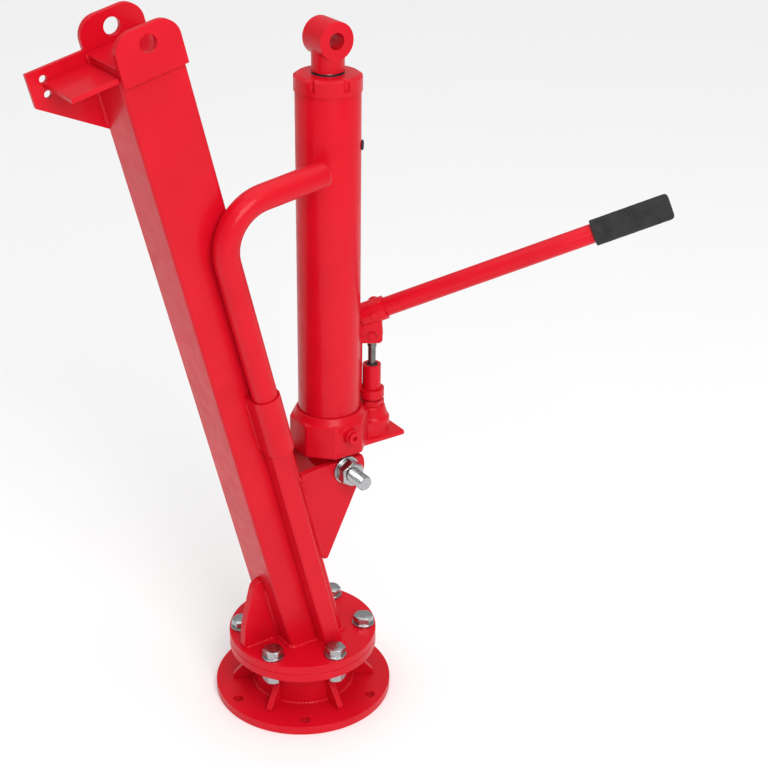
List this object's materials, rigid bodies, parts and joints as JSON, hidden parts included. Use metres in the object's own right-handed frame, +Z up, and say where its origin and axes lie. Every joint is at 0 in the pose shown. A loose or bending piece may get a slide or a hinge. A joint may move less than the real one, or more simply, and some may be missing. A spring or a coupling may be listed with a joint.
{
  "type": "crane column with hydraulic jack",
  "caption": "Swivelling lifting-crane column with a long-ram hydraulic jack, side hand pump and plug-in swing handle; a boom pins to the column head and the ram eye.",
  "frame": {"origin": "centre of the fixed base plate's underside, on the column's turning axis", "axes": "+Z up along the turning axis; +X from the column towards the jack and its pump; -Y is the side with the swing handle"},
  "size_m": [0.7392, 0.3468, 0.9621],
  "materials": {
    "red_paint": "gloss",
    "zinc_plate": "satin zinc plate",
    "bare_steel": "machined, oiled",
    "ram_chrome": "hard chrome",
    "bush_bronze": "machined",
    "black_rubber": "matte",
    "grip_foam": "matte, slightly porous"
  },
  "bodies": {
    "base": {"base_plate": "red_paint", "pedestal": "red_paint", "base_gussets": "red_paint", "kingpin_bush": "bush_bronze", "bearing_lower_race": "bare_steel", "bearing_balls": "bare_steel", "dust_seal": "black_rubber"},
    "column": {"bearing_upper_race": "bare_steel", "turntable": "red_paint", "kingpin": "bare_steel", "kingpin_washer": "zinc_plate", "kingpin_nut": "zinc_plate", "kingpin_cotter": "bare_steel", "mast_flange": "red_paint", "flange_bolts": "zinc_plate", "flange_washers": "zinc_plate", "flange_nuts": "zinc_plate", "mast_tube": "red_paint", "foot_rib": "red_paint", "jack_ear_front": "red_paint", "jack_ear_rear": "red_paint", "pivot_bolt": "zinc_plate", "pivot_nut": "zinc_plate", "pivot_washers": "zinc_plate", "pivot_spacers": "zinc_plate", "rail_post": "red_paint", "handle_sleeve": "red_paint", "mast_cap": "red_paint", "boom_ear_front": "red_paint", "boom_ear_rear": "red_paint", "winch_plate": "red_paint", "winch_stiffener": "red_paint"},
    "hand_bar": {"swing_handle": "red_paint", "swing_handle_cap": "red_paint"},
    "jack": {"jack_casting": "red_paint", "reservoir_tube": "red_paint", "pressure_cylinder": "bare_steel", "head_nut": "red_paint", "ram_wiper": "black_rubber", "filler_plug": "black_rubber", "pump_barrel": "red_paint", "pump_gland": "black_rubber", "check_balls": "bare_steel", "passage_plug": "zinc_plate"},
    "valve": {"release_valve": "red_paint"},
    "ram": {"ram": "ram_chrome", "ram_piston": "bare_steel", "piston_seal": "black_rubber", "ram_head": "red_paint"},
    "pump_link": {"fulcrum_link": "red_paint", "fulcrum_pin": "red_paint", "fulcrum_clips": "red_paint"},
    "plunger_set": {"plunger": "bare_steel", "plunger_pin": "red_paint", "plunger_clips": "red_paint"},
    "lever": {"handle_socket": "red_paint", "clamp_screw": "zinc_plate", "pump_handle": "red_paint", "handle_grip": "grip_foam"}
  },
  "joints": [
    {"name": "column_turn", "type": "hinge", "parent": "base", "child": "column", "pos_m": [0, 0, 0.07], "axis": [0, 0, 1], "continuous": true},
    {"name": "swing_handle_lift", "type": "slide", "parent": "column", "child": "hand_bar", "axis": [-0.2419, 0, 0.9703], "range_m": [0, 0.075]},
    {"name": "jack_tilt", "type": "hinge", "parent": "column", "child": "jack", "pos_m": [0.044, 0, 0.343], "axis": [0, 1, 0], "range_deg": [-6, 8]},
    {"name": "ram_extend", "type": "slide", "parent": "jack", "child": "ram", "axis": [0, 0, 1], "range_m": [0, 0.38]},
    {"name": "valve_turn", "type": "hinge", "parent": "jack", "child": "valve", "pos_m": [0.044, -0.05, 0.397], "axis": [0, -1, 0], "range_deg": [0, 360]},
    {"name": "pump_head_turn", "type": "hinge", "parent": "jack", "child": "pump_link", "pos_m": [0.11, 0, 0.424], "axis": [0, 0, 1], "range_deg": [-74, 95]},
    {"name": "handle_pump", "type": "hinge", "parent": "pump_link", "child": "lever", "pos_m": [0.09655, 0.00956, 0.502], "axis": [0.5793, 0.8151, 0], "range_deg": [-5, 42]},
    {"name": "plunger_stroke", "type": "slide", "parent": "pump_link", "child": "plunger_set", "axis": [0, 0, 1], "range_m": [-0.013, 0.0016]}
  ],
  "couplings": [
    {"joint": "plunger_stroke", "follows": "handle_pump", "m_per_rad": -0.0175}
  ]
}
